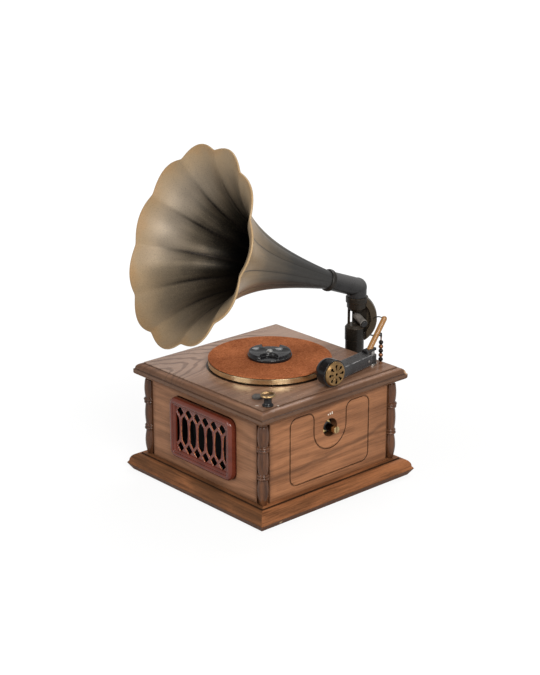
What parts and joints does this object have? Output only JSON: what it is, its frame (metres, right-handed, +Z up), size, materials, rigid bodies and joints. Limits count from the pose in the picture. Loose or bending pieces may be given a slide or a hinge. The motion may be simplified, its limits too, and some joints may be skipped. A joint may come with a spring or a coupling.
{
  "type": "horn phonograph",
  "caption": "Small electric record player in a square walnut box with turned corner posts, pierced speaker grille, belt-driven turntable, tone arm and a petal horn that swivels behind it",
  "frame": {"origin": "middle of the underside, on the surface the box stands on", "axes": "+Z up, -Y towards the speaker grille, +X towards the side with the volume shaft"},
  "size_m": [0.1984, 0.2181, 0.2927],
  "materials": {
    "walnut": "satin",
    "dark_walnut": "satin",
    "maroon_plastic": "gloss",
    "brass": "polished",
    "steel": "satin",
    "slate_metal": "satin",
    "black_plastic": "gloss",
    "rubber": "matte",
    "felt": "matte",
    "paper": "matte",
    "black_metal": "satin",
    "bronze": "satin",
    "amber_wood": "gloss",
    "copper": "satin",
    "circuit_board": "matte"
  },
  "bodies": {
    "cabinet": {"plinth": "dark_walnut", "bottom_board": "dark_walnut", "bottom_screws": "steel", "front_panel": "walnut", "right_panel": "walnut", "back_panel": "walnut", "left_panel": "walnut", "corner_blocks": "dark_walnut", "front_left_post": "walnut", "front_right_post": "walnut", "back_right_post": "walnut", "back_left_post": "walnut", "lid_apron": "dark_walnut", "lid_board": "walnut", "grille": "maroon_plastic", "speaker_basket": "slate_metal", "speaker_magnet": "steel", "speaker_screws": "steel", "amplifier_board": "circuit_board", "board_posts": "steel", "transformer": "steel", "cord_bush": "rubber", "motor": "steel", "drive_belt": "rubber", "spindle_bush": "brass", "selector_switch": "black_plastic", "lid_pad": "rubber", "volume_bracket": "steel", "volume_body": "slate_metal", "volume_nut": "brass", "arm_post": "steel", "horn_bracket": "black_metal", "bracket_screws": "steel", "stub_tube": "slate_metal", "stub_cap": "black_plastic", "peg_block": "black_plastic", "wooden_peg": "amber_wood", "hook_pin": "black_metal", "bead_chain": "copper", "stay_wire": "black_metal"},
    "platter": {"spindle": "steel", "platter": "slate_metal", "platter_rim": "brass", "platter_mat": "felt"},
    "adapter": {"record_adapter": "black_plastic"},
    "pulley": {"motor_pulley": "brass"},
    "cone": {"speaker_cone": "paper"},
    "selector": {"selector_stem": "black_plastic", "selector_cap": "brass"},
    "volume": {"volume_shaft": "steel"},
    "arm_turn": {"arm_yoke": "steel"},
    "arm": {"arm_pin": "steel", "tone_arm": "slate_metal", "cartridge": "black_plastic", "sound_box": "black_plastic", "sound_box_cap": "brass"},
    "horn_part": {"horn_elbow": "slate_metal", "horn_ring": "black_plastic", "horn": "bronze"}
  },
  "joints": [
    {"name": "platter_spin", "type": "hinge", "parent": "cabinet", "child": "platter", "pos_m": [0, 0, 0.1], "axis": [0, 0, 1], "continuous": true},
    {"name": "pulley_spin", "type": "hinge", "parent": "cabinet", "child": "pulley", "pos_m": [-0.03147, 0.03147, 0.1], "axis": [0, 0, 1], "continuous": true},
    {"name": "adapter_lift", "type": "slide", "parent": "platter", "child": "adapter", "axis": [0, 0, 1], "range_m": [0, 0.012]},
    {"name": "cone_travel", "type": "slide", "parent": "cabinet", "child": "cone", "axis": [0, -1, 0], "range_m": [-0.0008, 0.0008], "stiffness_N_per_m": 1500},
    {"name": "selector_turn", "type": "hinge", "parent": "cabinet", "child": "selector", "pos_m": [0.071, -0.066, 0.1], "axis": [0, 0, 1], "range_deg": [-40, 40]},
    {"name": "volume_turn", "type": "hinge", "parent": "cabinet", "child": "volume", "pos_m": [0.075, 0, 0.0645], "axis": [1, 0, 0], "range_deg": [-150, 150]},
    {"name": "arm_swing", "type": "hinge", "parent": "cabinet", "child": "arm_turn", "pos_m": [0.0581, 0.065, 0.1], "axis": [0, 0, 1], "range_deg": [-8, 35]},
    {"name": "arm_lift", "type": "hinge", "parent": "arm_turn", "child": "arm", "pos_m": [0.05998, 0.05315, 0.107], "axis": [-0.9877, -0.1564, 0], "range_deg": [0, 30]},
    {"name": "horn_swivel", "type": "hinge", "parent": "cabinet", "child": "horn_part", "pos_m": [0.00106, 0.10306, 0.1394], "axis": [0, 0, 1], "range_deg": [-90, 90]}
  ],
  "couplings": [
    {"joint": "pulley_spin", "follows": "platter_spin", "ratio": 10.831}
  ]
}
